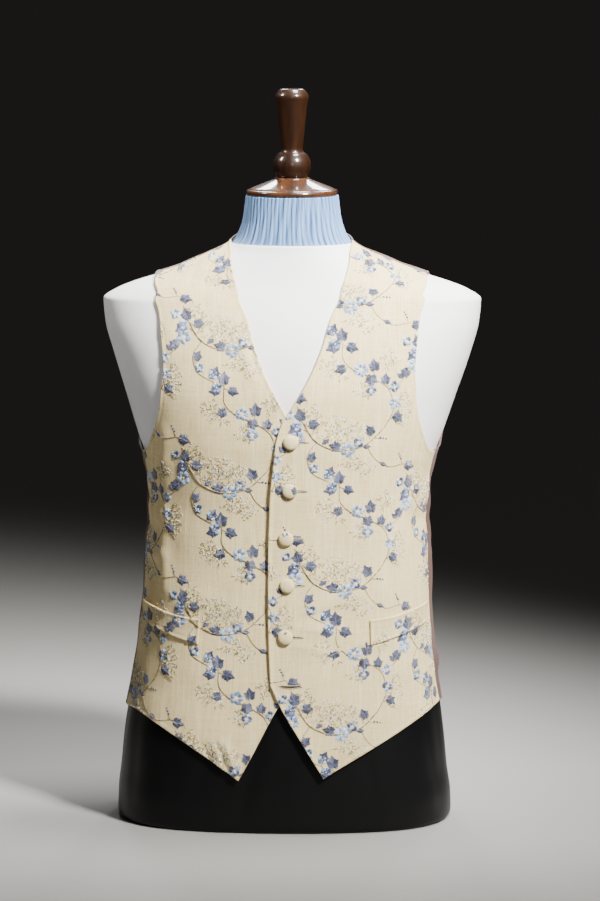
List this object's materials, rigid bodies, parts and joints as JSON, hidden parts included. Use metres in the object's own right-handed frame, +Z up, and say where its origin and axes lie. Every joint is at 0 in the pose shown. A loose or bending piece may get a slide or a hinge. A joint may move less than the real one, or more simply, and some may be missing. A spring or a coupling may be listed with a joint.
{
  "type": "embroidered waistcoat on a dress form",
  "caption": "Buttoned waistcoat of ivory slubbed cloth with trailing floral embroidery and a satin back, on a limbless dress form with a gathered blue neck and a turned wooden finial.",
  "frame": {"origin": "the middle of the flat base that the dress form stands on, on the axis of the neck and its wooden finial", "axes": "+Z up; the centre front faces -Y; +X is the wearer's left"},
  "size_m": [0.4132, 0.2544, 0.801],
  "materials": {
    "embroidered_cloth": "ivory slubbed linen and silk with blue and violet floral embroidery",
    "back_satin": "dusty pink-brown satin",
    "button_cloth": "the fronts' ivory cloth over domed buttons",
    "form_cover": "smooth off-white cotton cover",
    "neck_cloth": "pale blue cotton gathered in fine pleats",
    "black_cloth": "smooth black cotton with a faint sheen",
    "turned_wood": "turned hardwood, dark red-brown gloss varnish"
  },
  "bodies": {
    "root": {"front_right": "embroidered_cloth", "front_left": "embroidered_cloth", "pocket_welt_right": "embroidered_cloth", "pocket_welt_left": "embroidered_cloth", "back_right": "back_satin", "back_left": "back_satin", "button_1": "button_cloth", "button_2": "button_cloth", "button_3": "button_cloth", "button_4": "button_cloth", "button_5": "button_cloth", "form_body": "form_cover", "form_neck": "neck_cloth", "form_lower": "black_cloth", "neck_cap": "turned_wood", "finial": "turned_wood"}
  },
  "joints": []
}
